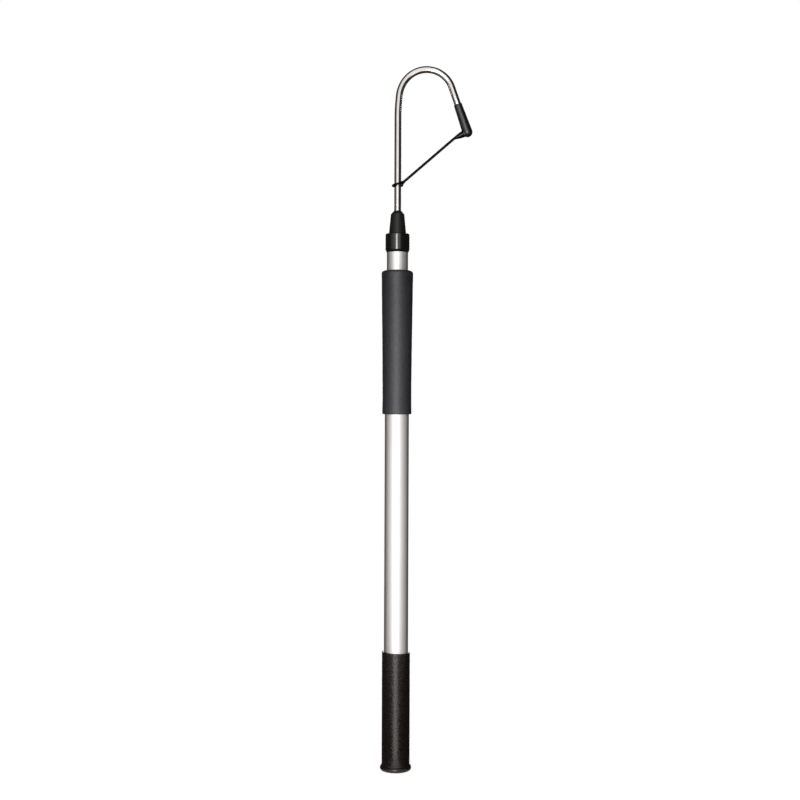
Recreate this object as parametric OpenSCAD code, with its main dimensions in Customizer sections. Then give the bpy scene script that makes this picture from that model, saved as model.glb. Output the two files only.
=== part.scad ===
// Telescopic landing gaff: a bent steel hook on a twist-lock pole of two tubes, shown collapsed.
// Z runs from the flat end of the butt to the hook, and X points to the side of the hook's point.
// Lengths are in millimetres.

/* [Tubes] */
// Outside diameter of the upper tube
upper_d = 22; // [20:0.5:30]
// Wall of both tubes
tube_wall = 1; // [0.8:0.1:1.5]
// Radial gap between the two tubes
tube_gap = 0.5; // [0.4:0.05:0.8]
// Length of the lower tube
lower_len = 508.5; // [400:0.5:700]
// Length of the upper tube that shows when collapsed
shown_len = 19; // [10:0.5:60]
// Length of the upper tube that stays inside at full reach
keep_len = 74; // [50:0.5:120]
// Clearance of the upper tube in its guides
guide_gap = 0.25; // [0.2:0.01:0.3]
// Length of the sloped sides of the rolled stop bead
bead_ramp = 1.5; // [1:0.1:3]
// Length of the flat of the rolled stop bead
bead_flat = 1; // [0.5:0.1:3]

/* [Hook] */
// Diameter of the hook's rod
wire_d = 7.1; // [5:0.1:8]
// Straight shank from the socket to the first bend
shank_len = 97.1; // [60:0.1:160]
// Length of shank held in the socket
shank_seat = 58; // [30:0.5:60]
// Radius of the easy lead into the bend
lead_r = 200; // [100:1:300]
// Angle of the easy lead
lead_angle = 6.6; // [3:0.1:12]
// Radius of the first half of the crown
crown_r = 31.6; // [25:0.1:45]
// Angle of the first half of the crown
crown_angle = 35; // [20:0.5:60]
// Radius of the throat
throat_r = 27.6; // [20:0.1:40]
// Angle of the throat
throat_angle = 119; // [100:0.5:130]
// Straight leg from the throat to the tip of the point
leg_len = 48; // [40:0.5:70]
// Length of the ground taper
taper_len = 22; // [12:0.5:30]
// Length of the steeper tip
tip_len = 4; // [2:0.5:6]
// Diameter where the steeper tip begins
tip_d = 2; // [1:0.1:3]
// Diameter of the blunted end
tip_end_d = 0.3; // [0.2:0.05:0.6]

/* [Point guard] */
// Length of the leg that the guard covers
guard_cover = 29.5; // [24:0.5:36]
// Clearance between the guard and the rod
guard_gap = 0.1; // [0.05:0.05:0.2]
// Wall of the guard at its mouth
guard_lip = 0.6; // [0.4:0.1:1.5]
// Diameter of the guard's rounded end
guard_end_d = 10.7; // [9.5:0.1:14]
// Distance from the tip of the point to the centre of the rounded end
guard_end_gap = 1; // [0.5:0.5:4]
// Length of the tongue from the centre of the rounded end
tongue_len = 15; // [12:0.5:25]
// Angle of the tongue below the horizontal
tongue_dip = 26; // [15:1:45]
// Diameter of the tongue at its root
tongue_root_d = 7.2; // [4:0.1:9]
// Diameter of the tether
tether_d = 2.4; // [1.5:0.1:2.6]
// How far the end of the tongue stands out round the tether
tongue_lip = 0.1; // [0.05:0.05:0.5]
// Height of the tether's ring above the socket
ring_up = 27.5; // [22:0.1:60]
// Thickness of the ring
ring_wire_d = 2.2; // [1.5:0.1:2.6]
// Clearance of the ring round the shank
ring_gap = 0.25; // [0.2:0.05:0.6]
// Tilt of the ring
ring_tilt = 17; // [0:1:25]
// Diameter of the stem where it leaves the ring for the tether
stem_d = 3.8; // [3.2:0.1:5]
// Length of the stem
stem_len = 4; // [3:0.1:8]
// Clearance between the tether's end and the stem
stem_gap = 0.15; // [0.1:0.05:0.3]
// Diameter of the thick back of the ring
back_d = 3.6; // [3:0.1:4]
// How far the centre of the thick back lies inside the ring
back_in = 0.6; // [0.4:0.05:0.8]

/* [Socket] */
// Height of the nose cone above the collar
nose_len = 23.5; // [15:0.1:40]
// Diameter of the nose cone at the collar
nose_base_d = 17.8; // [16:0.1:20]
// Diameter of the nose cone below its sloped end
nose_top_d = 14; // [12:0.1:15.5]
// Height of the sloped end
nose_slope = 3.7; // [1:0.1:6]
// Width of the flat end round the hook
nose_lip = 0.3; // [0.2:0.1:1]
// Length of the socket's spigot in the tube
spigot_len = 36; // [30:0.5:60]
// Thickness of the flange on the tube's end
flange_t = 1.9; // [1:0.1:4]
// Wall of the collar
collar_wall = 1.5; // [1:0.1:3]
// Length of the collar
collar_len = 19.7; // [12:0.1:30]
// Thickness of the collar's top
collar_top = 1.5; // [1:0.1:3]
// Radius of the collar's top edge
collar_round = 1.2; // [0.5:0.1:1.4]
// Rise of the collar's top from its edge to the nose cone
collar_rise = 0.4; // [0:0.1:0.8]
// Width of the bevel at the collar's bottom edge
collar_bevel = 1.2; // [0.3:0.1:1.4]
// Height of that bevel
collar_bevel_h = 2.6; // [0.5:0.1:6]
// Diameter of the cross pins
pin_d = 3; // [2:0.1:3.5]
// Depth that the ends of a cross pin lie below the tube's surface
pin_sink = 0.1; // [0.05:0.05:0.3]

/* [Twist lock] */
// Length of the cam
cam_len = 14; // [8:0.5:25]
// Offset of the spindle from the tube's axis
cam_offset = 0.35; // [0.2:0.05:0.4]
// Diameter of the spindle
spindle_d = 12; // [8:0.1:14]
// Running clearance of the cam on its spindle and in the tube
cam_gap = 0.05; // [0.02:0.01:0.08]
// Clearance of the cam between shoulder and washer
cam_play = 0.1; // [0.05:0.05:0.3]
// Width of the cam's slit
cam_slit = 2.5; // [1:0.1:5]
// Chamfer of the cam's edges
cam_chamfer = 0.6; // [0.2:0.1:1.5]
// Thickness of the plug's shoulder
shoulder_t = 4; // [2:0.5:8]
// Length of the plug inside the tube
plug_len = 20; // [12:0.5:40]
// Thickness of the washer
washer_t = 1.2; // [0.8:0.1:2]
// How far the washer reaches past the spindle
washer_reach = 2; // [1:0.1:3]
// Diameter of the screw
screw_d = 4; // [3:0.1:5]
// Length of the screw in the plug
screw_len = 16; // [10:0.5:25]
// Diameter of the screw's head
screw_head_d = 7.6; // [6:0.1:9]
// Height of the screw's head
screw_head_t = 2.6; // [1.5:0.1:4]
// Width and depth of the slot in the screw's head
screw_slot = 1.2; // [0.6:0.1:1.4]
// Radius of the rim of the screw's head
screw_head_round = 1; // [0.3:0.1:1.2]
// Gap under the screw's head when collapsed
stop_gap = 0.3; // [0.1:0.1:1]
// Bevel on the leading edges of the plugs and the mouth cap
lead_bevel = 0.6; // [0.2:0.1:0.8]

/* [Grips] */
// Length of the foam fore grip
fore_len = 148.7; // [100:0.1:220]
// Wall of the fore grip at its lower edge
fore_end_wall = 2.65; // [2:0.05:5]
// Wall of the fore grip at its waist
fore_waist_wall = 2.4; // [1.8:0.05:5]
// Height of the waist above the lower edge
fore_waist_up = 18; // [10:0.5:60]
// Wall of the fore grip round the mouth cap
fore_top_wall = 2.55; // [1.8:0.05:4]
// How late the fore grip swells above its waist, where 1 is a plain cone
fore_swell = 1.3; // [1:0.05:2]
// Radius of the upper edge of the fore grip
fore_round = 4; // [1:0.1:4.5]
// Radius of the lower edge of the fore grip
fore_foot_round = 1.2; // [0.5:0.1:1.5]
// Height of the fore grip above the mouth cap
fore_over = 0.9; // [0.5:0.1:2]
// Wall of the mouth cap's skirt
cap_wall = 1.3; // [1:0.1:2]
// Length of the mouth cap's skirt
cap_skirt = 22; // [10:0.5:60]
// Thickness of the mouth cap's top
cap_top = 2; // [1.5:0.1:5]
// Length of the butt grip
butt_len = 122; // [80:0.5:200]
// Wall of the butt grip
butt_wall = 2; // [1.2:0.1:5]
// Thickness of the butt grip's floor
butt_floor = 4; // [2:0.1:8]
// Radius of the butt grip's upper edge
butt_round = 0.8; // [0.3:0.1:1]
// Radius of the rolled lip above
lip_round = 2.6; // [1.8:0.1:4]
// Radius of the rolled lip below
lip_foot_round = 1.5; // [0.5:0.1:1.8]
// How far the lip stands out from the grip
lip_out = 1.65; // [0.5:0.05:2.4]
// Length of the butt plug in the tube
plug_skirt = 12.5; // [8:0.5:30]
// Wall of the butt plug
plug_wall = 1.8; // [1:0.1:3]
// Thickness of the butt plug's flange
plug_flange = 1.5; // [1:0.1:3]

/* [Hidden] */
$fn = 96;
arc_steps = 8;

// Radii of the tubes and their guides
upper_r = upper_d / 2;
upper_bore_r = upper_r - tube_wall;
lower_bore_r = upper_r + tube_gap;
lower_r = lower_bore_r + tube_wall;
guide_r = upper_r + guide_gap;
cap_r = lower_r + cap_wall;
wire_r = wire_d / 2;
pin_r = pin_d / 2;

// Heights from the butt's face upwards
lower_z0 = butt_floor + plug_flange;
mouth_z = lower_z0 + lower_len;
stop_z = lower_z0 + plug_skirt;
head_z = stop_z + stop_gap;
washer_z = head_z + screw_head_t;
spindle_z = washer_z + washer_t;
cam_z0 = spindle_z + cam_play;
cam_z1 = cam_z0 + cam_len;
shoulder_z = cam_z1 + cam_play;
upper_z0 = shoulder_z + shoulder_t;
bead_z = mouth_z - keep_len;
fore_z1 = mouth_z + cap_top + fore_over;
fore_z0 = fore_z1 - fore_len;
collar_z0 = fore_z1 + shown_len;
collar_z1 = collar_z0 + collar_len;
flange_z1 = collar_z1 - collar_top;
upper_z1 = flange_z1 - flange_t;
nose_z = collar_z1 + nose_len;
socket_pin_z = (collar_z0 + upper_z1) / 2;
plug_pin_z = upper_z0 + plug_len / 2;

// The hook's centre line, as [x, z] points and headings from +Z towards +X
lead_at = [0, nose_z + shank_len];
crown_at = after_bend(lead_at, 0, lead_r, lead_angle);
crown_head = lead_angle;
throat_at = after_bend(crown_at, crown_head, crown_r, crown_angle);
throat_head = crown_head + crown_angle;
leg_at = after_bend(throat_at, throat_head, throat_r, throat_angle);
leg_head = throat_head + throat_angle;
leg_way = [sin(leg_head), cos(leg_head)];
// Every second stretch of the rod is slimmer by a hair and laps its neighbours, so that they join cleanly
rod_step = 0.02;
rod_lap = 0.05;

// The guard's rounded end, the end of its tongue, and the ring with its stem and thick back
guard_from = leg_len - guard_cover;
guard_end_at = leg_at + (leg_len + guard_end_gap) * leg_way;
tongue_head = 270 - tongue_dip;
tongue_end_r = tether_d / 2 + tongue_lip;
tongue_at = guard_end_at + tongue_len * [sin(tongue_head), cos(tongue_head)];
ring_r = (wire_r + ring_gap + ring_wire_d / 2) / cos(ring_tilt);
ring_at = [0, nose_z + ring_up];
ring_way = [cos(ring_tilt), sin(ring_tilt)];
stem_at = ring_at + ring_r * ring_way;
back_at = ring_at - (ring_r - back_in) * ring_way;
tether_way = (tongue_at - stem_at) / norm(tongue_at - stem_at);
tether_foot = stem_at + stem_len * tether_way;

function after_bend(from, head, r, turn) =
    from + r * [cos(head) - cos(head + turn), sin(head + turn) - sin(head)];

function arc(centre, r, from, to) =
    [for (i = [0:arc_steps]) let (a = from + (to - from) * i / arc_steps) centre + r * [cos(a), sin(a)]];

// A solid of revolution about Z from an outline of [radius, z] points
module turned(outline) rotate_extrude() polygon(outline);

// A straight tube
module tube(r_out, r_in, z0, z1) {
    difference() {
        translate([0, 0, z0]) cylinder(r = r_out, h = z1 - z0);
        translate([0, 0, z0 - 1]) cylinder(r = r_in, h = z1 - z0 + 2);
    }
}

// Places its children at an [x, z] point, with their Z along a heading
module heading(at, head) translate([at[0], 0, at[1]]) rotate([0, head, 0]) children();

// A round bar between two [x, z] points
module bar(from, to, r) {
    way = to - from;
    heading(from, atan2(way[0], way[1])) cylinder(r = r, h = norm(way));
}

// One bend of the hook's rod, run on past each end by a lap
module bend(at, head, r, turn, rod_r, lap) {
    lap_turn = lap / r * 180 / PI;
    heading(at, head) translate([r, 0, 0]) rotate([90, 0, 0])
        rotate_extrude(angle = turn + 2 * lap_turn, start = 180 - turn - lap_turn)
            translate([r, 0]) circle(r = rod_r);
}

// A cross hole or pin along Y
module cross(z, r, half) translate([0, half, z]) rotate([90, 0, 0]) cylinder(r = r, h = 2 * half);

// The straight leg with its ground point, made larger all round by a gap
module point_leg(from, gap) {
    heading(leg_at, leg_head) turned([[0, from], [wire_r + gap, from], [wire_r + gap, leg_len - taper_len],
        [tip_d / 2 + gap, leg_len - tip_len], [tip_end_d / 2 + gap, leg_len + gap], [0, leg_len + gap]]);
}

module hook() color("silver") {
    difference() {
        union() {
            translate([0, 0, nose_z - shank_seat]) cylinder(r = wire_r, h = shank_seat + shank_len);
            bend(lead_at, 0, lead_r, lead_angle, wire_r - rod_step, rod_lap);
            bend(crown_at, crown_head, crown_r, crown_angle, wire_r, 0);
            bend(throat_at, throat_head, throat_r, throat_angle, wire_r - rod_step, rod_lap);
            point_leg(0, 0);
        }
        cross(socket_pin_z, pin_r, upper_r);
    }
}

module point_guard() color("#1b1b1d") {
    mouth_r = wire_r + guard_gap + guard_lip;
    end_r = guard_end_d / 2;
    difference() {
        union() {
            heading(leg_at, leg_head) turned(concat(
                [[0, guard_from], [mouth_r, guard_from]],
                arc([0, leg_len + guard_end_gap], end_r, 0, 90)));
            heading(guard_end_at, tongue_head) turned(concat(
                [[0, end_r / 2], [tongue_root_d / 2, end_r / 2]],
                arc([0, tongue_len], tongue_end_r, 0, 90)));
        }
        point_leg(guard_from - 1, guard_gap);
    }
}

module guard_tether() color("#161618") {
    difference() {
        bar(tongue_at, tether_foot, tether_d / 2);
        heading(tongue_at, 0) sphere(r = tongue_end_r);
        heading(tether_foot, 0) sphere(r = tongue_end_r + stem_gap);
    }
}

module tether_ring() color("#161618") {
    bore_r = wire_r + ring_gap / 2;
    difference() {
        union() {
            heading(ring_at, -ring_tilt) rotate_extrude() translate([ring_r, 0]) circle(d = ring_wire_d);
            heading(stem_at, atan2(tether_way[0], tether_way[1])) turned(concat(
                [[0, -stem_d / 4], [stem_d / 2, -stem_d / 4]],
                arc([0, stem_len], tongue_end_r, 0, 90)));
            heading(back_at, 0) sphere(d = back_d);
        }
        translate([0, 0, ring_at[1] - 2 * ring_r]) cylinder(r = bore_r, h = 4 * ring_r);
    }
}

module hook_socket() color("#232323") {
    difference() {
        turned([[0, upper_z1 - spigot_len], [upper_bore_r - lead_bevel, upper_z1 - spigot_len],
            [upper_bore_r, upper_z1 - spigot_len + lead_bevel], [upper_bore_r, upper_z1],
            [upper_r, upper_z1], [upper_r, flange_z1], [nose_base_d / 2, flange_z1],
            [nose_base_d / 2, collar_z1], [nose_top_d / 2, nose_z - nose_slope],
            [wire_r + nose_lip, nose_z], [0, nose_z]]);
        translate([0, 0, nose_z - shank_seat]) cylinder(r = wire_r, h = shank_seat + 1);
        cross(socket_pin_z, pin_r, upper_r);
    }
}

module socket_collar() color("#101010") {
    out_r = upper_r + collar_wall;
    edge_z = collar_z1 - collar_rise;
    turned(concat(
        [[upper_r, collar_z0], [out_r - collar_bevel, collar_z0], [out_r, collar_z0 + collar_bevel_h]],
        arc([out_r - collar_round, edge_z - collar_round], collar_round, 0, 90),
        [[nose_base_d / 2, collar_z1], [nose_base_d / 2, flange_z1], [upper_r, flange_z1]]));
}

module socket_pin() color("silver") cross(socket_pin_z, pin_r, upper_r - pin_sink);

module inner_tube() color("gainsboro") {
    difference() {
        tube(upper_r, upper_bore_r, upper_z0, upper_z1);
        cross(socket_pin_z, pin_r, upper_r + 1);
        cross(plug_pin_z, pin_r, upper_r + 1);
    }
}

module lock_plug() color("ivory") {
    difference() {
        union() {
            turned([[0, shoulder_z], [upper_r, shoulder_z], [upper_r, upper_z0], [upper_bore_r, upper_z0],
                [upper_bore_r, upper_z0 + plug_len - lead_bevel],
                [upper_bore_r - lead_bevel, upper_z0 + plug_len], [0, upper_z0 + plug_len]]);
            translate([cam_offset, 0, spindle_z]) cylinder(d = spindle_d, h = shoulder_z - spindle_z);
        }
        translate([cam_offset, 0, spindle_z - 1]) cylinder(d = screw_d, h = screw_len - washer_t + 1);
        cross(plug_pin_z, pin_r, upper_r);
    }
}

module lock_plug_pin() color("silver") cross(plug_pin_z, pin_r, upper_r - pin_sink);

module lock_cam() color("ivory") {
    cam_r = lower_bore_r - cam_gap;
    bore_r = spindle_d / 2 + cam_gap;
    difference() {
        turned([[0, cam_z0], [cam_r - cam_chamfer, cam_z0], [cam_r, cam_z0 + cam_chamfer],
            [cam_r, cam_z1 - cam_chamfer], [cam_r - cam_chamfer, cam_z1], [0, cam_z1]]);
        translate([cam_offset, 0, cam_z0 - 1]) cylinder(r = bore_r, h = cam_len + 2);
        translate([0, -cam_slit / 2, cam_z0 - 1]) cube([cam_r + 1, cam_slit, cam_len + 2]);
    }
}

module cam_washer() color("silver") {
    translate([cam_offset, 0, 0])
        tube(spindle_d / 2 + washer_reach, screw_d / 2, washer_z, spindle_z);
}

module cam_screw() color("silver") {
    translate([cam_offset, 0, 0]) {
        difference() {
            turned(concat(
                arc([screw_head_d / 2 - screw_head_round, head_z + screw_head_round],
                    screw_head_round, -90, 0),
                [[screw_head_d / 2, washer_z], [0, washer_z], [0, head_z]]));
            translate([-screw_head_d, -screw_slot / 2, head_z - 1])
                cube([2 * screw_head_d, screw_slot, screw_slot + 1]);
        }
        translate([0, 0, washer_z]) cylinder(d = screw_d, h = screw_len);
    }
}

module outer_tube() color("gainsboro") {
    step = lower_bore_r - guide_r;
    bead = [bead_z, bead_z + bead_ramp, bead_z + bead_ramp + bead_flat, bead_z + 2 * bead_ramp + bead_flat];
    turned([[lower_bore_r, lower_z0], [lower_r, lower_z0],
        [lower_r, bead[0]], [lower_r - step, bead[1]], [lower_r - step, bead[2]], [lower_r, bead[3]],
        [lower_r, mouth_z], [lower_bore_r, mouth_z],
        [lower_bore_r, bead[3]], [guide_r, bead[2]], [guide_r, bead[1]], [lower_bore_r, bead[0]]]);
}

module mouth_cap() color("#2a2a2a") {
    cap_z1 = mouth_z + cap_top;
    turned([[lower_r, mouth_z - cap_skirt], [cap_r, mouth_z - cap_skirt], [cap_r, cap_z1],
        [guide_r + lead_bevel, cap_z1], [guide_r, cap_z1 - lead_bevel], [guide_r, mouth_z],
        [lower_r, mouth_z]]);
}

module fore_grip() color("#2b2d33") {
    cap_z0 = mouth_z - cap_skirt;
    cap_z1 = mouth_z + cap_top;
    end_r = lower_r + fore_end_wall;
    waist_r = lower_r + fore_waist_wall;
    waist_z = fore_z0 + fore_waist_up;
    top_r = cap_r + fore_top_wall;
    swell_z = fore_z1 - fore_round;
    turned(concat(
        [[lower_r, fore_z0]],
        arc([end_r - fore_foot_round, fore_z0 + fore_foot_round], fore_foot_round, -90, 0),
        [for (i = [0:arc_steps - 1]) let (u = i / arc_steps)
            [waist_r + (top_r - waist_r) * pow(u, fore_swell), waist_z + u * (swell_z - waist_z)]],
        arc([top_r - fore_round, fore_z1 - fore_round], fore_round, 0, 90),
        [[guide_r + lead_bevel, fore_z1], [guide_r + lead_bevel, cap_z1],
            [cap_r, cap_z1], [cap_r, cap_z0], [lower_r, cap_z0]]));
}

module butt_grip() color("#26221f") {
    side_r = lower_r + butt_wall;
    lip_r = side_r + lip_out;
    lip_turn = acos((lip_round - lip_out) / lip_round);
    turned(concat(
        [[0, 0]],
        arc([lip_r - lip_foot_round, lip_foot_round], lip_foot_round, -90, 0),
        arc([lip_r - lip_round, lip_round], lip_round, 0, lip_turn),
        arc([side_r - butt_round, butt_len - butt_round], butt_round, 0, 90),
        [[lower_r, butt_len], [lower_r, butt_floor], [0, butt_floor]]));
}

module butt_plug() color("#303030") {
    hollow_r = lower_bore_r - plug_wall;
    turned([[hollow_r, butt_floor], [lower_r, butt_floor], [lower_r, lower_z0], [lower_bore_r, lower_z0],
        [lower_bore_r, stop_z - lead_bevel], [lower_bore_r - lead_bevel, stop_z], [0, stop_z],
        [0, stop_z - plug_wall], [hollow_r, stop_z - plug_wall]]);
}

hook();
point_guard();
guard_tether();
tether_ring();
hook_socket();
socket_collar();
socket_pin();
inner_tube();
lock_plug();
lock_plug_pin();
lock_cam();
cam_washer();
cam_screw();
outer_tube();
mouth_cap();
fore_grip();
butt_grip();
butt_plug();
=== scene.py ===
# %% [markdown]
# # A telescopic landing gaff
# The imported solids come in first, as a fixed frame in metres: the tubes, the lock and every joint are already
# right. This script dresses them. It models the bent hook, the soft guard with its tether, and the two grips
# as smooth meshes, then gives every surface its finish and sets a small studio round the pole.

# %% Load the frame
import math

import bmesh
import bpy
from mathutils import Matrix, Vector, noise


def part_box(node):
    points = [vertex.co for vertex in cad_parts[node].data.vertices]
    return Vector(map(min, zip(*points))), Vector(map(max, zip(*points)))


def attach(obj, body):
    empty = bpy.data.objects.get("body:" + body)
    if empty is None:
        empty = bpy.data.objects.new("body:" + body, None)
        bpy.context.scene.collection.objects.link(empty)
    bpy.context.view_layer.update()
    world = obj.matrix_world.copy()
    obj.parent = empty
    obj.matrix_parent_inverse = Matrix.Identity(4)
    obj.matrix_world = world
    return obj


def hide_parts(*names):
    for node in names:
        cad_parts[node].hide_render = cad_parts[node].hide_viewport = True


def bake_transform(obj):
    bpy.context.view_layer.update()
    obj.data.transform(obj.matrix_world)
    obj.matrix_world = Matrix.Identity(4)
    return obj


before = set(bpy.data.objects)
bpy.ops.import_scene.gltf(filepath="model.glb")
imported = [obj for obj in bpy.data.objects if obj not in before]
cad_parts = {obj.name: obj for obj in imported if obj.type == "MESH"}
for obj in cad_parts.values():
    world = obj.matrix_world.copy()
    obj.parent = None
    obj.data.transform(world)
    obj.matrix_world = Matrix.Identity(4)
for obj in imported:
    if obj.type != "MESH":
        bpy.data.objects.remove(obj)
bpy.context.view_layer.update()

MM = 0.001
scene = bpy.context.scene
scene.view_settings.view_transform = "Standard"

# %% [markdown]
# ## Camera
# The photograph looks at the pole from the front at about mid height. The lower tube is 25 mm wide and measures
# 24.1 pixels, so a pixel spans 1.037 mm there. How far the rims of the grips curve tells how far the camera
# stood. The pole leans a hair in the picture. The frame can't lean, so the camera is rolled by that angle.

# %% Camera
PHOTO_SIDE = 800
PIXEL = 1.0373 * MM
CAMERA_AWAY = 1.30
EYE_HEIGHT = 0.383
POLE_LEFT_PIXELS = 3.1
POLE_LEAN = math.radians(0.22)
SENSOR = 36.0
CLIP_START = 0.05

camera = bpy.data.objects.new("camera", bpy.data.cameras.new("camera"))
scene.collection.objects.link(camera)
scene.camera = camera
camera.location = (POLE_LEFT_PIXELS * PIXEL, -CAMERA_AWAY, EYE_HEIGHT)
camera.rotation_euler = (math.radians(90), -POLE_LEAN, 0)
camera.data.sensor_width = SENSOR
camera.data.lens = SENSOR * CAMERA_AWAY / (PHOTO_SIDE * PIXEL)
camera.data.clip_start = CLIP_START
print("lens", round(camera.data.lens, 1), "mm at", CAMERA_AWAY, "m")

# %% [markdown]
# ## Where things are
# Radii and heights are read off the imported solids, so the meshes follow them. The bends of the hook and the
# places of its guard and tether repeat the sizes of the solids, because a box alone doesn't give them.

# %% Sizes read from the frame
def radius_of(node):
    """Outer radius of a turned node, from its box."""
    low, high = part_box(node)
    return (high.y - low.y) / 2


def span_of(node):
    """Lowest and highest z of a node."""
    low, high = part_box(node)
    return low.z, high.z


TUBE_R = radius_of("outer_tube")
ROD_R = radius_of("hook")
HOOK_FOOT, HOOK_TOP = span_of("hook")
print("tube", round(2 * TUBE_R / MM, 2), "mm, rod", round(2 * ROD_R / MM, 2), "mm")
print("hook from", round(HOOK_FOOT / MM, 1), "to", round(HOOK_TOP / MM, 1), "mm")

# %% [markdown]
# ## Helpers for meshes
# Nearly every piece starts as a line or a ring that is turned or drawn out. `lathe` spins an outline of radius
# and height about the pole's axis, as a lathe or a round mould would. `finish_piece` closes the work: doubles
# are merged, faces are turned outwards, and the mesh becomes an object. `dress` then puts it in the place of
# its solid, on a body of the frame.

# %% Mesh helpers
MERGE = 1e-6


def lathe(outline, steps, closed=False):
    """A bmesh of revolution about Z from (radius, z) points, with use_merge closing the full spin."""
    bm = bmesh.new()
    verts = [bm.verts.new((r, 0, z)) for r, z in outline]
    pairs = list(zip(verts, verts[1:]))
    if closed:
        pairs.append((verts[-1], verts[0]))
    edges = [bm.edges.new(pair) for pair in pairs]
    bmesh.ops.spin(bm, geom=verts + edges, cent=(0, 0, 0), axis=(0, 0, 1),
                   angle=2 * math.pi, steps=steps, use_merge=True)
    bmesh.ops.remove_doubles(bm, verts=bm.verts, dist=MERGE)
    return bm


def arc(centre, radius, start, end, steps):
    """Points of an arc in (radius, z), with angles in degrees from outwards to upwards."""
    angles = [math.radians(start + (end - start) * i / steps) for i in range(steps + 1)]
    return [(centre[0] + radius * math.cos(a), centre[1] + radius * math.sin(a)) for a in angles]


def make_object(bm, name):
    """Turns a bmesh into an object of the scene."""
    mesh = bpy.data.meshes.new(name)
    bm.to_mesh(mesh)
    bm.free()
    made = bpy.data.objects.new(name, mesh)
    scene.collection.objects.link(made)
    return made


def finish_piece(bm, name, sharp=60):
    """Merges, turns faces outwards, shades smooth with sharp corners kept, and makes the object."""
    bmesh.ops.remove_doubles(bm, verts=bm.verts, dist=MERGE)
    bmesh.ops.recalc_face_normals(bm, faces=bm.faces)
    for face in bm.faces:
        face.smooth = True
    for edge in bm.edges:
        edge.smooth = len(edge.link_faces) != 2 or edge.calc_face_angle() < math.radians(sharp)
    piece = make_object(bm, name)
    print(name, len(piece.data.polygons), "faces")
    return piece


def dress(piece, body, node, finish):
    """Puts a finished piece in the place of a node, on its body and with its finish."""
    piece.data.materials.append(finish)
    if body:
        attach(piece, body)
    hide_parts(node)
    return piece

# %% [markdown]
# ## Helpers for finishes
# A finish is a Principled shader with its plain values set straight on the sockets, and a few noise patterns
# for what varies. The patterns read Object coordinates, which are the frame's own metres, so a grain of half a
# millimetre is half a millimetre on every piece.

# %% Finish helpers
class Finish:
    """A material under construction: a Principled shader and the patterns that feed it."""

    def __init__(self, name, colour, roughness, plain=None):
        self.material = bpy.data.materials.new(name)
        self.material.use_nodes = True
        self.tree = self.material.node_tree
        self.shader = self.tree.nodes["Principled BSDF"]
        self.shader.inputs["Base Color"].default_value = (*colour, 1)
        self.shader.inputs["Roughness"].default_value = roughness
        for socket, value in (plain or {}).items():
            self.shader.inputs[socket].default_value = value
        self.place = self.tree.nodes.new("ShaderNodeTexCoord").outputs["Object"]

    def add(self, kind, **settings):
        """A new node of that kind, with its settings."""
        node = self.tree.nodes.new(kind)
        for key, value in settings.items():
            setattr(node, key, value)
        return node

    def link(self, output, socket):
        """Feeds an output into a socket."""
        self.tree.links.new(output, socket)

    def noise(self, size, detail=2.0, stretch=(1, 1, 1)):
        """Cloudy noise with features of about that size, in metres. A stretch below 1 draws them out."""
        mapping = self.add("ShaderNodeMapping")
        mapping.inputs["Scale"].default_value = stretch
        self.link(self.place, mapping.inputs["Vector"])
        node = self.add("ShaderNodeTexNoise")
        node.inputs["Scale"].default_value = 1 / size
        node.inputs["Detail"].default_value = detail
        self.link(mapping.outputs["Vector"], node.inputs["Vector"])
        return node.outputs["Fac"]

    def cells(self, size):
        """Distance to scattered cell centres of about that size, in metres."""
        node = self.add("ShaderNodeTexVoronoi")
        node.inputs["Scale"].default_value = 1 / size
        self.link(self.place, node.inputs["Vector"])
        return node.outputs["Distance"]

    def towards_edge(self):
        """0 where the surface faces the eye and 1 at its outline, for a gloss that grows there."""
        return self.add("ShaderNodeLayerWeight").outputs["Facing"]

    def spread(self, source, low, high, start=0.3, end=0.7):
        """Maps a pattern's start to end onto low to high."""
        node = self.add("ShaderNodeMapRange")
        for socket, value in zip(("From Min", "From Max", "To Min", "To Max"), (start, end, low, high)):
            node.inputs[socket].default_value = value
        self.link(source, node.inputs["Value"])
        return node.outputs["Result"]

    def tint(self, source, low, high, start=0.3, end=0.7, socket="Base Color"):
        """A colour that goes from low to high with a pattern."""
        ramp = self.add("ShaderNodeValToRGB")
        for element, at, colour in zip(ramp.color_ramp.elements, (start, end), (low, high)):
            element.position = at
            element.color = (*colour, 1)
        self.link(source, ramp.inputs["Fac"])
        self.link(ramp.outputs["Color"], self.shader.inputs[socket])

    def rough(self, source, low, high, start=0.3, end=0.7):
        """Lets the roughness wander from low to high with a pattern."""
        self.link(self.spread(source, low, high, start, end), self.shader.inputs["Roughness"])

    def relief(self, source, depth, strength):
        """A bump of that depth, in metres."""
        bump = self.add("ShaderNodeBump")
        bump.inputs["Strength"].default_value = strength
        bump.inputs["Distance"].default_value = depth
        self.link(source, bump.inputs["Height"])
        self.link(bump.outputs["Normal"], self.shader.inputs["Normal"])

# %% [markdown]
# ## The metal finishes
# The tubes are drawn aluminium with a satin anodised skin. Drawing leaves faint lines along the tube, so the
# noise is stretched along Z. Seen at a slant, such a skin turns glossy, so it is smoother towards its outline.
# The hook is polished stainless rod: much smoother, a little warmer and even all over, because unevenness would
# break its narrow bright line into beads. The pins, screw and washer inside the lock are zinc plated.

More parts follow.
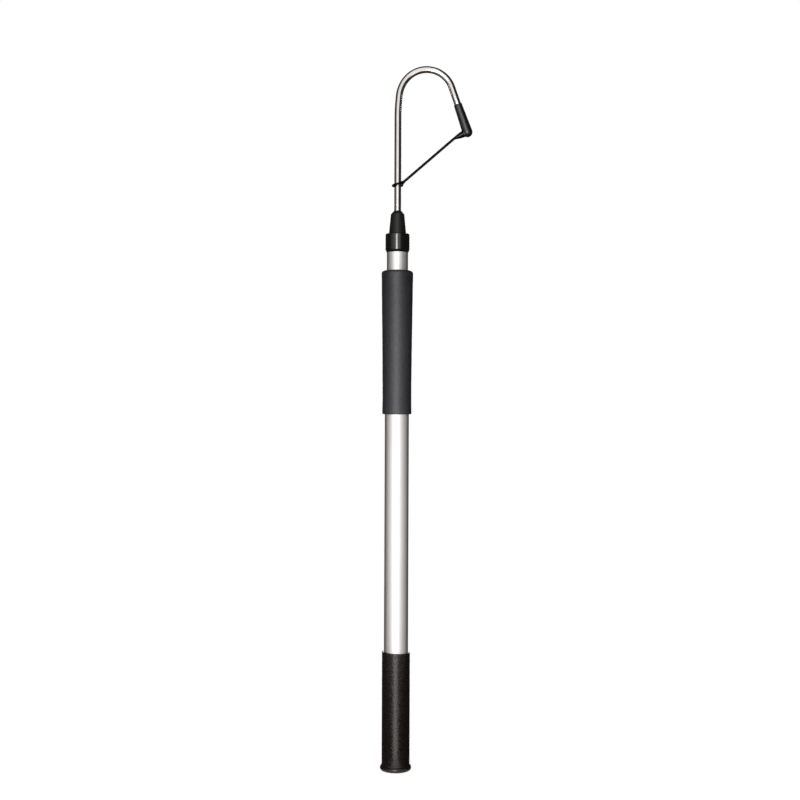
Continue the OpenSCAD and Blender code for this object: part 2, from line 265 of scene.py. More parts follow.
# %% Metal finishes
def anodised_aluminium():
    # The dark Specular Tint makes the reflection fall dark towards the outline under any light: painted shade
    # along the edges.
    skin = Finish("anodised_aluminium", (0.80, 0.79, 0.785), 0.62,
                  {"Metallic": 0.93, "Specular Tint": (0.2, 0.18, 0.17, 1)})
    lines = skin.noise(0.4 * MM, detail=3, stretch=(1, 1, 0.004))
    clouds = skin.noise(14 * MM, detail=2, stretch=(1, 1, 0.3))
    skin.tint(clouds, low=(0.77, 0.757, 0.75), high=(0.82, 0.81, 0.805))
    skin.rough(skin.towards_edge(), low=0.62, high=0.22, start=0.32, end=0.88)
    skin.relief(lines, depth=0.012 * MM, strength=0.35)
    return skin.material


def polished_stainless():
    # The dark brown Specular Tint makes the reflection fall dark brown towards the outline: painted shade along
    # the edges.
    rod = Finish("polished_stainless", (0.78, 0.75, 0.72), 0.105,
                 {"Metallic": 1.0, "Specular Tint": (0.2, 0.14, 0.10, 1)})
    clouds = rod.noise(9 * MM, detail=3)
    rod.tint(clouds, low=(0.76, 0.725, 0.695), high=(0.82, 0.79, 0.765))
    rod.rough(clouds, low=0.10, high=0.11)
    return rod.material


def plated_steel():
    plate = Finish("plated_steel", (0.66, 0.66, 0.64), 0.3, {"Metallic": 1.0})
    clouds = plate.noise(2 * MM, detail=3)
    plate.tint(clouds, low=(0.58, 0.58, 0.55), high=(0.70, 0.70, 0.69))
    plate.rough(clouds, low=0.24, high=0.4)
    return plate.material


ALUMINIUM, STAINLESS, PLATED = anodised_aluminium(), polished_stainless(), plated_steel()
print("metals:", ALUMINIUM.name, STAINLESS.name, PLATED.name)

# %% [markdown]
# ## The moulded plastics
# The nose cone is black nylon from a spark-eroded mould, so it has a fine matt grain. The collar is a glossy
# black cap from a polished mould, with only a faint haze. The cam and plug of the lock are natural nylon, the
# colour of old ivory.

# %% Plastic finishes
def matte_black_plastic():
    cone = Finish("matte_black_plastic", (0.009, 0.009, 0.008), 0.5, {"Specular IOR Level": 0.3})
    grain = cone.noise(0.25 * MM, detail=2)
    clouds = cone.noise(6 * MM, detail=2)
    cone.tint(clouds, low=(0.007, 0.007, 0.006), high=(0.011, 0.0105, 0.0095))
    cone.rough(grain, low=0.42, high=0.58)
    cone.relief(grain, depth=0.03 * MM, strength=0.5)
    return cone.material


def gloss_black_plastic():
    cap = Finish("gloss_black_plastic", (0.005, 0.005, 0.0055), 0.17, {"Specular IOR Level": 0.72})
    haze = cap.noise(5 * MM, detail=3)
    cap.tint(haze, low=(0.004, 0.004, 0.0045), high=(0.007, 0.007, 0.0075))
    cap.rough(haze, low=0.165, high=0.175)
    return cap.material


def natural_nylon():
    nylon = Finish("natural_nylon", (0.80, 0.77, 0.68), 0.42)
    clouds = nylon.noise(4 * MM, detail=2)
    nylon.tint(clouds, low=(0.76, 0.72, 0.62), high=(0.83, 0.80, 0.72))
    nylon.rough(clouds, low=0.36, high=0.5)
    return nylon.material


MATTE, GLOSS, NYLON = matte_black_plastic(), gloss_black_plastic(), natural_nylon()
print("plastics:", MATTE.name, GLOSS.name, NYLON.name)

# %% [markdown]
# ## The two grips' finishes
# The fore grip is ground EVA foam: bluish black, with cut cells about a millimetre wide that scatter the light
# into a wide soft sheen. The butt grip is moulded rubber: browner and glossier, with a leathery grain of about
# the same size. Cells make both grains, and a bump gives them depth, because they are too small to model.

# %% Grip finishes
def black_foam():
    foam = Finish("black_foam", (0.014, 0.014, 0.018), 0.55, {"Specular IOR Level": 0.75})
    pits = foam.cells(1.1 * MM)
    specks = foam.noise(1.6 * MM, detail=3)
    foam.tint(specks, low=(0.005, 0.005, 0.0075), high=(0.023, 0.023, 0.028))
    foam.rough(foam.towards_edge(), low=0.56, high=0.36, start=0.4, end=0.95)
    foam.relief(pits, depth=0.3 * MM, strength=0.4)
    return foam.material


def black_rubber():
    rubber = Finish("black_rubber", (0.008, 0.006, 0.005), 0.26, {"Specular IOR Level": 0.45})
    grain = rubber.cells(1.25 * MM)
    clouds = rubber.noise(5 * MM, detail=2)
    rubber.tint(clouds, low=(0.006, 0.0035, 0.0025), high=(0.011, 0.007, 0.0055))
    rubber.rough(grain, low=0.18, high=0.38)
    rubber.relief(grain, depth=0.3 * MM, strength=0.32)
    return rubber.material


FOAM, RUBBER = black_foam(), black_rubber()
print("grips:", FOAM.name, RUBBER.name)

# %% [markdown]
# ## Finishes on the solids
# The tubes, the nose cone, the collar and the works of the twist lock are already the right shape, so their
# solids stay and only get a finish. The solids of the hook and the grips get theirs too, although new meshes
# take their places further down.

# %% Dress the solids
def dress_solids(finishes):
    """Gives each node's solid its finish."""
    for node, finish in finishes.items():
        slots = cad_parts[node].data.materials
        slots.clear()
        slots.append(finish)
    print("dressed", len(finishes), "solids")


dress_solids({
    "outer_tube": ALUMINIUM, "inner_tube": ALUMINIUM,
    "mouth_cap": MATTE, "butt_plug": MATTE, "hook_socket": MATTE, "socket_collar": GLOSS,
    "lock_plug": NYLON, "lock_cam": NYLON,
    "lock_plug_pin": PLATED, "socket_pin": PLATED, "cam_washer": PLATED, "cam_screw": PLATED,
    "hook": STAINLESS, "fore_grip": FOAM, "butt_grip": RUBBER,
})

# %% [markdown]
# ## The hook
# The hook is one steel rod, bent cold round three formers: an easy lead, then the crown, then the tighter
# throat. A curve with a round bevel would also make it, but here the rod is drawn the way it is bent. A ring of
# edges is run up the shank, spun round the centre of each bend, and run down the leg, where it shrinks to the
# ground point. Each bend starts with the heading of the last, so the rod has no kink. Many sides keep the
# reflections in the polished rod smooth.

# %% Hook sizes
SHANK_TOP = 676.2 * MM
BENDS = (("lead", 200 * MM, 6.6, 16), ("crown", 31.6 * MM, 35, 32), ("throat", 27.6 * MM, 119, 96))
LEG = 48 * MM
TAPER, TIP = 22 * MM, 4 * MM
TIP_R, TIP_END_R = 1.0 * MM, 0.15 * MM
ROD_SIDES, SHANK_STEPS = 96, 12
print("bends of", [turn for _, _, turn, _ in BENDS], "degrees")

# %% Helpers that draw a ring of edges out
UP = Vector((0, 0, 1))


def edges_of(verts):
    """The edges at some points, each once."""
    return list({edge for vert in verts for edge in vert.link_edges})


def run_on(bm, ring, way, length, end_r=None):
    """Runs a ring of edges on along a way, to another radius if one is given, and returns the new ring."""
    made = bmesh.ops.extrude_edge_only(bm, edges=ring)["geom"]
    verts = [part for part in made if isinstance(part, bmesh.types.BMVert)]
    bmesh.ops.translate(bm, vec=way * length, verts=verts)
    if end_r:
        centre = sum((vert.co for vert in verts), Vector()) / len(verts)
        change = end_r / (verts[0].co - centre).length
        bmesh.ops.scale(bm, vec=(change,) * 3, space=Matrix.Translation(-centre), verts=verts)
    fresh = set(verts)
    return [part for part in made if isinstance(part, bmesh.types.BMEdge) and fresh.issuperset(part.verts)]


def bend_on(bm, ring, at, head, radius, turn, steps):
    """Spins a ring round the centre of a bend and returns the new ring, with the place and heading there."""
    centre = at + radius * Vector((math.cos(head), 0, -math.sin(head)))
    verts = list({vert for edge in ring for vert in edge.verts})
    spun = bmesh.ops.spin(bm, geom=verts + ring, cent=centre, axis=(0, 1, 0), angle=turn, steps=steps)
    ring = [part for part in spun["geom_last"] if isinstance(part, bmesh.types.BMEdge)]
    return ring, centre + Matrix.Rotation(turn, 3, "Y") @ (at - centre), head + turn

# %% Bend the hook
bm = bmesh.new()
foot = bmesh.ops.create_circle(bm, segments=ROD_SIDES, radius=ROD_R, matrix=Matrix.Translation(HOOK_FOOT * UP))
ring = edges_of(foot["verts"])
bmesh.ops.edgeloop_fill(bm, edges=ring)
for step in range(SHANK_STEPS):
    ring = run_on(bm, ring, UP, (SHANK_TOP - HOOK_FOOT) / SHANK_STEPS)
at, head = SHANK_TOP * UP, 0.0
for name, radius, turn, steps in BENDS:
    ring, at, head = bend_on(bm, ring, at, head, radius, math.radians(turn), steps)
    print(name, "ends at", [round(x / MM, 2) for x in at])
LEG_AT, LEG_HEAD = at, head
LEG_WAY = Vector((math.sin(head), 0, math.cos(head)))
ring = run_on(bm, ring, LEG_WAY, LEG - TAPER)
ring = run_on(bm, ring, LEG_WAY, TAPER - TIP, TIP_R)
ring = run_on(bm, ring, LEG_WAY, TIP, TIP_END_R)
bmesh.ops.edgeloop_fill(bm, edges=ring)
dress(finish_piece(bm, "hook_rod"), "hook_arm", "hook", STAINLESS)

# %% [markdown]
# ## The vinyl
# The guard, tether and ring are one moulding of soft black PVC. The sheath on the point keeps the sheen of its
# mould. The tongue, strap and ring are handled and stretched, and are dull. A shader could blend the two by
# place, but how strongly a surface mirrors is best a plain value, so there are two finishes, bright and dull.

# %% Vinyl finishes
def soft_pvc(name, gloss, smooth, rough):
    vinyl = Finish(name, (0.003, 0.003, 0.0035), rough, {"Specular IOR Level": gloss})
    flow = vinyl.noise(3 * MM, detail=2)
    vinyl.tint(flow, low=(0.0022, 0.0022, 0.0026), high=(0.0038, 0.0038, 0.0042))
    vinyl.rough(flow, low=smooth, high=rough)
    return vinyl.material


BRIGHT_VINYL = soft_pvc("soft_pvc_bright", gloss=0.8, smooth=0.33, rough=0.38)
DULL_VINYL = soft_pvc("soft_pvc_dull", gloss=0.12, smooth=0.17, rough=0.21)
dress_solids({"point_guard": BRIGHT_VINYL, "guard_tether": DULL_VINYL, "tether_ring": DULL_VINYL})

# %% [markdown]
# ## Soft mouldings
# The guard, its tongue and the ring are moulded vinyl, and such parts have no sharp inside corners: the vinyl
# fills them. Filleting that by hand is slow. Here the plain bodies are turned so that they overlap, a voxel
# remesh melts them into one skin, and a few rounds of smoothing round off the corners. The result is kept as
# the mesh itself, so that its faces and points can be worked on after that.

# %% Melt helpers
SMOOTHING, SMOOTH_ROUNDS = 0.5, 4


def melt(piece, voxel):
    """Joins the overlapping bodies of a piece into one smooth skin."""
    skin = piece.modifiers.new("one_skin", "REMESH")
    skin.mode, skin.voxel_size, skin.use_smooth_shade = "VOXEL", voxel, True
    soft = piece.modifiers.new("soft_corners", "SMOOTH")
    soft.factor, soft.iterations = SMOOTHING, SMOOTH_ROUNDS
    shape = piece.evaluated_get(bpy.context.evaluated_depsgraph_get())
    melted = bpy.data.meshes.new_from_object(shape)
    piece.modifiers.clear()
    piece.data = melted
    print(piece.name, "melted to", len(melted.polygons), "faces")
    return piece


def turn_to(at, head):
    """Places a turned body at a point, with its Z along a heading in the plane of the hook."""
    return Matrix.Translation(at) @ Matrix.Rotation(head, 4, "Y")


def join_into(bm, other, matrix):
    """Adds another bmesh to this one, moved by a matrix."""
    bmesh.ops.transform(other, matrix=matrix, verts=other.verts)
    bmesh.ops.recalc_face_normals(other, faces=other.faces)
    mesh = bpy.data.meshes.new("part")
    other.to_mesh(mesh)
    other.free()
    bm.from_mesh(mesh)
    bpy.data.meshes.remove(mesh)

# %% [markdown]
# ## The point guard
# The guard is a tapered sheath that is pushed on over the point. It is hollow to the shape of the point, its
# mouth has a small rounded lip, and it ends in a ball like a heel. A tongue grows out of the heel and narrows
# to the tether. Sheath and tongue are both turned, each about its own axis. After the melt, the faces on the
# tongue's side, from a set distance off the leg's axis, get the dull finish.

# %% Guard sizes
GUARD_FROM, GUARD_GAP = 18.5 * MM, 0.1 * MM
MOUTH_R, HEEL_R, HEEL_AT = 4.25 * MM, 5.35 * MM, 49 * MM
LIP_R = 0.25 * MM
TONGUE, TONGUE_ROOT_R, TONGUE_END_R = 15 * MM, 3.6 * MM, 1.3 * MM
TONGUE_HEAD, TONGUE_SWELL, TONGUE_ROWS = math.radians(270 - 26), 1.7, 12
BRIGHT_REACH = 4.5 * MM
GUARD_VOXEL = 0.2 * MM
heel_at = LEG_AT + HEEL_AT * LEG_WAY
TONGUE_AT = heel_at + TONGUE * Vector((math.sin(TONGUE_HEAD), 0, math.cos(TONGUE_HEAD)))
print("tongue ends at", [round(x / MM, 2) for x in TONGUE_AT])

# %% Turn and melt the guard
cavity_r = ROD_R + GUARD_GAP
sheath = [(0, LEG + GUARD_GAP), (TIP_END_R + GUARD_GAP, LEG + GUARD_GAP), (TIP_R + GUARD_GAP, LEG - TIP),
          (cavity_r, LEG - TAPER)]
sheath += arc((cavity_r + LIP_R, GUARD_FROM + LIP_R), LIP_R, 180, 270, steps=4)
sheath += arc((MOUTH_R - LIP_R, GUARD_FROM + LIP_R), LIP_R, 270, 360, steps=4)
sheath += arc((0, HEEL_AT), HEEL_R, 0, 90, steps=16)
tongue_foot = HEEL_R / 2
tongue = [(0, tongue_foot)]
for row in range(TONGUE_ROWS + 1):
    along = row / TONGUE_ROWS
    tongue.append((TONGUE_END_R + (TONGUE_ROOT_R - TONGUE_END_R) * (1 - along ** TONGUE_SWELL),
                   tongue_foot + (TONGUE - tongue_foot) * along))
tongue += arc((0, TONGUE), TONGUE_END_R, 0, 90, steps=6)[1:]

bm = bmesh.new()
join_into(bm, lathe(sheath, 72), turn_to(LEG_AT, LEG_HEAD))
join_into(bm, lathe(tongue, 48), turn_to(heel_at, TONGUE_HEAD))
guard = melt(finish_piece(bm, "guard_sheath"), GUARD_VOXEL)
dress(guard, "guard", "point_guard", BRIGHT_VINYL)
guard.data.materials.append(DULL_VINYL)
beside = Vector((LEG_WAY.z, 0, -LEG_WAY.x))
for face in guard.data.polygons:
    face.material_index = int(beside.dot(face.center - LEG_AT) > BRIGHT_REACH)

# %% [markdown]
# ## The ring of the tether
# The ring is a loop of the same vinyl round the shank. It sits askew, higher on the side of the tether, because
# the tether pulls it up there. A stem joins the two, with a lump below it that lies against the shank, and the
# far side of the loop is thicker, where the mould was fed. A torus would do for the loop, but it is spun here
# like the rest. Melted together, these bodies fill part of the hole, so the points there are pushed back out.

# %% Ring sizes
RING_AT, RING_TILT, RING_GAP = 606.6 * MM * UP, math.radians(17), 0.25 * MM
STRAND_LINE, STRAND_R = 1.1 * MM, 1.2 * MM
STEM, STEM_R = 4 * MM, 1.9 * MM
BACK_R, BACK_IN = 1.8 * MM, 0.6 * MM
LUMP_R, LUMP_STRETCH, LUMP_SHIFT = 1.8 * MM, 1.78, Vector((-0.7 * MM, 0, -1.0 * MM))
RING_VOXEL = 0.15 * MM
ring_r = (ROD_R + RING_GAP + STRAND_LINE) / math.cos(RING_TILT)
ring_way = Vector((math.cos(RING_TILT), 0, math.sin(RING_TILT)))
stem_at, back_at = RING_AT + ring_r * ring_way, RING_AT - (ring_r - BACK_IN) * ring_way
stem_way = (TONGUE_AT - stem_at).normalized()
TETHER_FOOT = stem_at + STEM * stem_way
print("tether meets the ring at", [round(x / MM, 2) for x in TETHER_FOOT])

# %% Spin and melt the ring
def ball(radius):
    """A turned ball at the origin."""
    return lathe(arc((0, 0), radius, -90, 90, steps=16), 36)


bm = lathe(arc((ring_r, 0), STRAND_R, 0, 345, steps=23), 72, closed=True)
bmesh.ops.transform(bm, matrix=turn_to(RING_AT, -RING_TILT), verts=bm.verts)
stem = [(0, -STEM_R / 2), (STEM_R, -STEM_R / 2), (TONGUE_END_R, STEM)]
stem += arc((0, STEM), TONGUE_END_R, 0, 90, steps=5)[1:]
join_into(bm, lathe(stem, 36), turn_to(stem_at, math.atan2(stem_way.x, stem_way.z)))
join_into(bm, ball(BACK_R), Matrix.Translation(back_at))
lump_place = Matrix.Translation(stem_at + LUMP_SHIFT) @ Matrix.Diagonal((1, 1, LUMP_STRETCH, 1))
join_into(bm, ball(LUMP_R), lump_place)
ring_loop = melt(finish_piece(bm, "ring_loop"), RING_VOXEL)
hole_r = ROD_R + RING_GAP / 2
for vert in ring_loop.data.vertices:
    push = hole_r / math.hypot(vert.co.x, vert.co.y)
    if push > 1:
        vert.co.xy = vert.co.xy * push
dress(ring_loop, "ring", "tether_ring", DULL_VINYL)

# %% [markdown]
# ## The tether
# The tether is a thin strip from the tongue to the ring, and the photograph shows all of it, drawn straight. It
# is a tube of sixteen sides run along its line. Two opposite rows of points stand a hair proud: that is the
# parting line of the mould. It is not put on a body of the frame.

# %% Run the tether
TETHER_R, TETHER_STEPS, TETHER_SIDES = 1.4 * MM, 24, 16
PARTING_LINE = 1.06
TETHER = (TETHER_FOOT - TONGUE_AT).length
tether_way = (TETHER_FOOT - TONGUE_AT).normalized()
bm = bmesh.new()
start = bmesh.ops.create_circle(bm, segments=TETHER_SIDES, radius=TETHER_R)["verts"]
front_and_back = sorted(start, key=lambda vert: abs(vert.co.y))[-2:]
bmesh.ops.scale(bm, vec=(1, PARTING_LINE, 1), verts=front_and_back)
bmesh.ops.transform(bm, matrix=turn_to(TONGUE_AT, math.atan2(tether_way.x, tether_way.z)), verts=start)
ring = edges_of(start)
bmesh.ops.edgeloop_fill(bm, edges=ring)
for step in range(TETHER_STEPS):
    ring = run_on(bm, ring, tether_way, TETHER / TETHER_STEPS)
bmesh.ops.edgeloop_fill(bm, edges=ring)
tether = dress(finish_piece(bm, "tether_strip"), None, "guard_tether", DULL_VINYL)
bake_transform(tether)
print("tether", round(TETHER / MM, 1), "mm long")

# %% [markdown]
# ## Skins that aren't perfect
# Foam is ground to size on a belt and rubber shrinks in its mould, so the skin of a grip is never a true cone
# or cylinder. A Displace modifier could show that. Here layers of noise move the points of the skin along their
# normals by a tenth of a millimetre or less, and the bore that sits on the tube stays as it is.

# %% Skin helpers
GRIP_STEPS = 128


def outside(bm, radius):
    """The points that lie further from the pole's axis than a radius."""
    return [vert for vert in bm.verts if math.hypot(vert.co.x, vert.co.y) > radius]


def ragged(bm, skin, layers):
    """Moves points along their normals by layers of noise, given as (size, depth)."""
    bmesh.ops.recalc_face_normals(bm, faces=bm.faces)
    bm.normal_update()
    for vert in skin:
        depth = sum(high * noise.noise(vert.co / size) for size, high in layers)
        vert.co += vert.normal * depth

# %% [markdown]
# ## The foam fore grip
# The fore grip is a foam tube pushed on over the lower tube and its mouth cap, which is why it swells towards
# the top. It is turned from the same outline as its solid, with many more rings: a rounded foot that eases into
# a waist, a long swell and a rounded top.

# %% Fore grip sizes
FORE_LOW, FORE_HIGH = span_of("fore_grip")
FORE_TOP_R, FORE_FOOT_R, FORE_WAIST_R = radius_of("fore_grip"), 15.15 * MM, 14.9 * MM
FORE_WAIST_UP, FORE_SWELL = 18 * MM, 1.3
FORE_ROUND, FORE_FOOT_ROUND = 3 * MM, 1.2 * MM
EASE_ROWS, SWELL_ROWS = 16, 110
MOUTH_BORE_R, CAP_R = 11.85 * MM, radius_of("mouth_cap")
CAP_LOW, CAP_HIGH = span_of("mouth_cap")
FORE_SKIN_FROM = CAP_R + 0.1 * MM
FOAM_LAYERS = ((9 * MM, 0.12 * MM), (2.2 * MM, 0.07 * MM))
print("fore grip", round((FORE_HIGH - FORE_LOW) / MM, 1), "mm long,", round(2 * FORE_TOP_R / MM, 1), "mm wide")

# %% Turn the fore grip
foot_z, waist_z, swell_z = FORE_LOW + FORE_FOOT_ROUND, FORE_LOW + FORE_WAIST_UP, FORE_HIGH - FORE_ROUND
fore = arc((FORE_FOOT_R - FORE_FOOT_ROUND, foot_z), FORE_FOOT_ROUND, -90, 0, steps=6)
for row in range(1, EASE_ROWS):
    along = row / EASE_ROWS
    ease = along * along * (3 - 2 * along)
    fore.append((FORE_FOOT_R + (FORE_WAIST_R - FORE_FOOT_R) * ease, foot_z + (waist_z - foot_z) * along))
for row in range(SWELL_ROWS):
    along = row / SWELL_ROWS
    fore.append((FORE_WAIST_R + (FORE_TOP_R - FORE_WAIST_R) * along ** FORE_SWELL,
                 waist_z + (swell_z - waist_z) * along))
fore += arc((FORE_TOP_R - FORE_ROUND, swell_z), FORE_ROUND, 0, 90, steps=10)
fore += [(MOUTH_BORE_R, FORE_HIGH), (MOUTH_BORE_R, CAP_HIGH), (CAP_R, CAP_HIGH), (CAP_R, CAP_LOW),
         (TUBE_R, CAP_LOW), (TUBE_R, FORE_LOW)]
bm = lathe(fore, GRIP_STEPS, closed=True)
ragged(bm, outside(bm, FORE_SKIN_FROM), FOAM_LAYERS)
fore_grip = dress(finish_piece(bm, "foam_grip", sharp=50), "handle", "fore_grip", FOAM)

# %% [markdown]
# ## The rubber butt grip
# The butt grip is a closed rubber boot with a rolled lip at its foot. Its rim was trimmed by hand and stands
# about a millimetre higher on the left, so the upper rows are sheared. Its moulded grain is in its finish, and
# the skin helper adds a coarser unevenness.

# %% Butt grip sizes
BUTT_LOW, BUTT_HIGH = span_of("butt_grip")
LIP_OUT_R, BUTT_R = radius_of("butt_grip"), 14.5 * MM
BUTT_ROUND, BUTT_FLOOR = 0.8 * MM, 4 * MM
LIP_ROUND, LIP_FOOT_ROUND = 2.6 * MM, 1.5 * MM
LIP_TURN = math.degrees(math.acos((LIP_ROUND - (LIP_OUT_R - BUTT_R)) / LIP_ROUND))
SIDE_ROWS = 90
BUTT_SKIN_FROM = TUBE_R + 0.5 * MM
RUBBER_LAYERS = ((4 * MM, 0.06 * MM), (1.5 * MM, 0.05 * MM))
RIM_SLANT, SLANT_FROM = 0.033, 95 * MM
print("butt grip", round((BUTT_HIGH - BUTT_LOW) / MM, 1), "mm long,", round(2 * BUTT_R / MM, 1), "mm wide")

# %% Turn the butt grip
butt = [(0, BUTT_LOW)]
butt += arc((LIP_OUT_R - LIP_FOOT_ROUND, BUTT_LOW + LIP_FOOT_ROUND), LIP_FOOT_ROUND, -90, 0, steps=6)
butt += arc((LIP_OUT_R - LIP_ROUND, BUTT_LOW + LIP_ROUND), LIP_ROUND, 0, LIP_TURN, steps=8)
side_low, side_high = butt[-1][1], BUTT_HIGH - BUTT_ROUND
butt += [(BUTT_R, side_low + (side_high - side_low) * row / SIDE_ROWS) for row in range(1, SIDE_ROWS)]
butt += arc((BUTT_R - BUTT_ROUND, side_high), BUTT_ROUND, 0, 90, steps=5)
butt += [(TUBE_R, BUTT_HIGH), (TUBE_R, BUTT_LOW + BUTT_FLOOR), (0, BUTT_LOW + BUTT_FLOOR)]
bm = lathe(butt, GRIP_STEPS)
ragged(bm, outside(bm, BUTT_SKIN_FROM), RUBBER_LAYERS)
for vert in bm.verts:
    raised = max(0.0, (vert.co.z - SLANT_FROM) / (BUTT_HIGH - SLANT_FROM))
    vert.co.z -= vert.co.x * RIM_SLANT * raised
dress(finish_piece(bm, "rubber_grip", sharp=50), "handle", "butt_grip", RUBBER)

# %% [markdown]
# ## White backdrop
# The photograph is a cut-out on white. The world is white where the eye or a reflection meets it, and gives
# much less light than that, so that pale metal doesn't clip. The Light Path node tells the two apart.

# %% White backdrop
AMBIENT = 0.30


def seen_directly(tree):
    """1 for camera, glossy and transmission rays, which see the white itself, and 0 for the light it gives."""
    rays = tree.nodes.new("ShaderNodeLightPath")
    total = rays.outputs["Is Camera Ray"]
    for kind in ("Is Glossy Ray", "Is Transmission Ray"):
        either = tree.nodes.new("ShaderNodeMath")
        either.operation = "MAXIMUM"
        tree.links.new(total, either.inputs[0])
        tree.links.new(rays.outputs[kind], either.inputs[1])
        total = either.outputs[0]
    return total


world = bpy.data.worlds.new("white_backdrop")
scene.world = world
world.use_nodes = True
tree = world.node_tree
level = tree.nodes.new("ShaderNodeMapRange")
level.inputs["To Min"].default_value = AMBIENT
tree.links.new(seen_directly(tree), level.inputs["Value"])
tree.links.new(level.outputs["Result"], tree.nodes["Background"].inputs["Strength"])
tree.nodes["Background"].inputs["Color"].default_value = (1, 1, 1, 1)
print("backdrop white, ambient light", AMBIENT)

# %% [markdown]
# ## Floor
# The pole stands on a round of pale paper, which keeps its shadow. A large floor would show a horizon in the
# white, so this one fades out towards its rim. Where the eye sees it, it glows a little, so that it is nearly
# as white as the backdrop.

# %% Floor
FLOOR_R, FLOOR_CLEAR, FLOOR_SIDES = 0.55, 0.25, 96
FLOOR_GLOW, FLOOR_WHITE = 0.86, 0.45
bm = bmesh.new()
bmesh.ops.create_circle(bm, cap_ends=True, segments=FLOOR_SIDES, radius=FLOOR_R)
floor = make_object(bm, "floor")
paper = Finish("floor_paper", (FLOOR_WHITE,) * 3, 0.9,
               {"Specular IOR Level": 0.0, "Emission Color": (1, 1, 1, 1)})
glow = paper.spread(seen_directly(paper.tree), low=0, high=FLOOR_GLOW, start=0, end=1)
paper.link(glow, paper.shader.inputs["Emission Strength"])
reach = paper.add("ShaderNodeVectorMath", operation="LENGTH")
paper.link(paper.place, reach.inputs[0])
fade = paper.spread(reach.outputs["Value"], low=1, high=0, start=FLOOR_CLEAR, end=FLOOR_R)
paper.link(fade, paper.shader.inputs["Alpha"])
floor.data.materials.append(paper.material)
print("floor", FLOOR_R, "m round, fading out beyond", FLOOR_CLEAR, "m")

# %% [markdown]
# ## Key light
# One tall soft light a little left of the camera lays a bright band down the middle of every round piece. It
# ends just high enough for the collar to mirror it. Higher up, it would burn out the polished shank.

# %% Key light
KEY_AWAY, KEY_TURN, KEY_HEIGHT = 1.6, math.radians(-7), 0.39
KEY_WIDE, KEY_TALL, KEY_POWER = 0.36, 0.78, 16.0
softbox = bpy.data.lights.new("key_softbox", "AREA")
softbox.shape = "RECTANGLE"
softbox.size, softbox.size_y, softbox.energy = KEY_WIDE, KEY_TALL, KEY_POWER
key = bpy.data.objects.new("key_softbox", softbox)
scene.collection.objects.link(key)
key.location = (KEY_AWAY * math.sin(KEY_TURN), -KEY_AWAY * math.cos(KEY_TURN), KEY_HEIGHT)
key.rotation_euler = (math.radians(90), 0, KEY_TURN)
print("key light at", [round(x, 2) for x in key.location])

# %% [markdown]
# ## Cards beside the pole
# The edges of the metal fall dark in the photograph. Photographers get that with black cards beside the object,
# and so does this set. The cards only show in reflections. Each goes from light at the front to dark at the
# back, and turns dark sooner beside the hook and near the floor. Its foot darkens the flanks of the butt grip,
# its lid the upper outline of the hook's crown, and its shelf the crown's underside.

# %% Card helpers
def panel(bm, corners):
    """Adds a flat panel with these corners."""
    bmesh.ops.contextual_create(bm, geom=[bm.verts.new(corner) for corner in corners])


def lying_panel(bm, xs, ys, z):
    """Adds a level panel that spans two places along X and two along Y."""
    panel(bm, [(xs[0], ys[0], z), (xs[1], ys[0], z), (xs[1], ys[1], z), (xs[0], ys[1], z)])


def standing_panel(bm, x, ys, z):
    """Adds an upright panel that spans two places along Y, from the floor to a height."""
    panel(bm, [(x, ys[0], 0), (x, ys[1], 0), (x, ys[1], z), (x, ys[0], z)])


def cloth(name, strength, colour=(1, 1, 1)):
    """A finish that only glows."""
    return Finish(name, (0, 0, 0), 1.0, {"Specular IOR Level": 0.0, "Emission Color": (*colour, 1),
                                         "Emission Strength": strength})


def stand_in_reflections(bm, name, covering):
    """Makes a piece of the set that only shows in reflections."""
    made = make_object(bm, name)
    made.visible_camera = made.visible_diffuse = made.visible_shadow = made.visible_transmission = False
    made.data.materials.append(covering.material)
    print(name, "stands in the reflections")

# %% Cards
CARD_TALL, CARD_FRONT, CARD_BACK = 1.5, -1.2, 1.2
FOOT_FROM, FOOT_FRONT, FOOT_UP = 0.017, -0.7, 1 * MM
LID_HEIGHT, LID_FRONT = 1.0, -0.15
SHELF_HEIGHT, SHELF_FRONT = 0.5, -0.2
HOOK_ZONE, FOOT_ZONE = (0.43, 0.61), (0.01, 0.06)


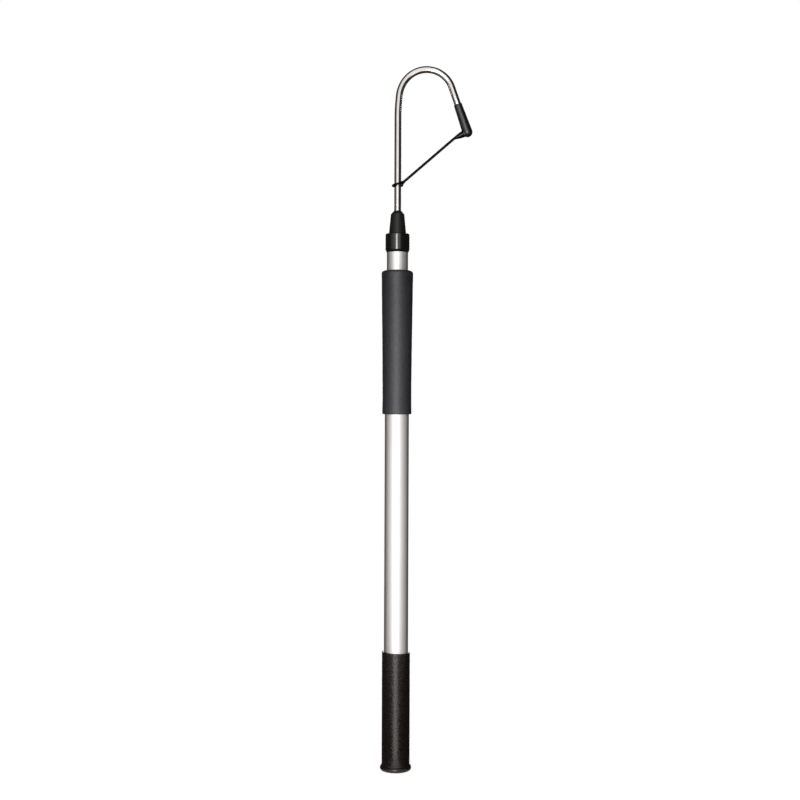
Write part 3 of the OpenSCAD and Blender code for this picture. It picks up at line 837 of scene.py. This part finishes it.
def card(name, x, light, dark, start, end, hook_shift, foot_shift):
    """A card that goes from light to dark between two places along Y, shifted beside the hook and the foot."""
    bm = bmesh.new()
    standing_panel(bm, x, (CARD_FRONT, CARD_BACK), CARD_TALL)
    lying_panel(bm, (math.copysign(FOOT_FROM, x), x), (FOOT_FRONT, CARD_BACK), FOOT_UP)
    lying_panel(bm, (0, x), (LID_FRONT, CARD_BACK), LID_HEIGHT)
    lying_panel(bm, (0, x), (SHELF_FRONT, CARD_BACK), SHELF_HEIGHT)
    shade = cloth(name + "_cloth", 1.0)
    axes = shade.add("ShaderNodeSeparateXYZ")
    shade.link(shade.place, axes.inputs[0])
    along = axes.outputs["Y"]
    for shift in (shade.spread(axes.outputs["Z"], 0, hook_shift, *HOOK_ZONE),
                  shade.spread(axes.outputs["Z"], foot_shift, 0, *FOOT_ZONE)):
        moved = shade.add("ShaderNodeMath", operation="ADD")
        shade.link(along, moved.inputs[0])
        shade.link(shift, moved.inputs[1])
        along = moved.outputs[0]
    shade.tint(shade.spread(along, 0, 1, start, end), light, dark, 0, 1, socket="Emission Color")
    stand_in_reflections(bm, name, shade)


card("card_right", 0.30, light=(1.15, 1.15, 1.15), dark=(0.030, 0.026, 0.023), start=-0.42, end=0.0,
     hook_shift=0.40, foot_shift=0.45)
card("card_left", -0.30, light=(0.95, 0.94, 0.93), dark=(0.06, 0.046, 0.040), start=-0.32, end=0.02,
     hook_shift=0.12, foot_shift=0.35)

# %% [markdown]
# ## Light from the floor
# The butt grip stands so low that it mirrors the floor in front of it and not the key light. A fan of warm
# light lies there, narrow at the pole and wide towards the camera, and gives the rubber its bright band.

# %% Floor sheen
SHEEN, SHEEN_COLOUR, SHEEN_UP = 2.9, (1, 0.93, 0.90), 2 * MM
SHEEN_NEAR, SHEEN_FAR = 0.06, 0.8
SHEEN_LEFT, SHEEN_RIGHT = -0.33, 0.26
bm = bmesh.new()
panel(bm, [(side * away, -away, SHEEN_UP) for away, side in (
    (SHEEN_NEAR, SHEEN_LEFT), (SHEEN_NEAR, SHEEN_RIGHT), (SHEEN_FAR, SHEEN_RIGHT), (SHEEN_FAR, SHEEN_LEFT))])
stand_in_reflections(bm, "floor_sheen", cloth("floor_streak", SHEEN, SHEEN_COLOUR))

# %% [markdown]
# ## Light from behind
# With a dark card on either side, the metal would look black from behind. A narrow panel stands straight behind
# the pole, where the front view hardly mirrors it, and gives the back views a brighter band.

# %% Back panel
BACK_AWAY, BACK_WIDE, BACK_LOW, BACK_HIGH, BACK_GLOW = 1.6, 0.17, -0.3, 1.6, 4.0
bm = bmesh.new()
panel(bm, [(x, BACK_AWAY, z) for x, z in (
    (-BACK_WIDE, BACK_LOW), (BACK_WIDE, BACK_LOW), (BACK_WIDE, BACK_HIGH), (-BACK_WIDE, BACK_HIGH))])
stand_in_reflections(bm, "back_panel", cloth("back_white", BACK_GLOW))
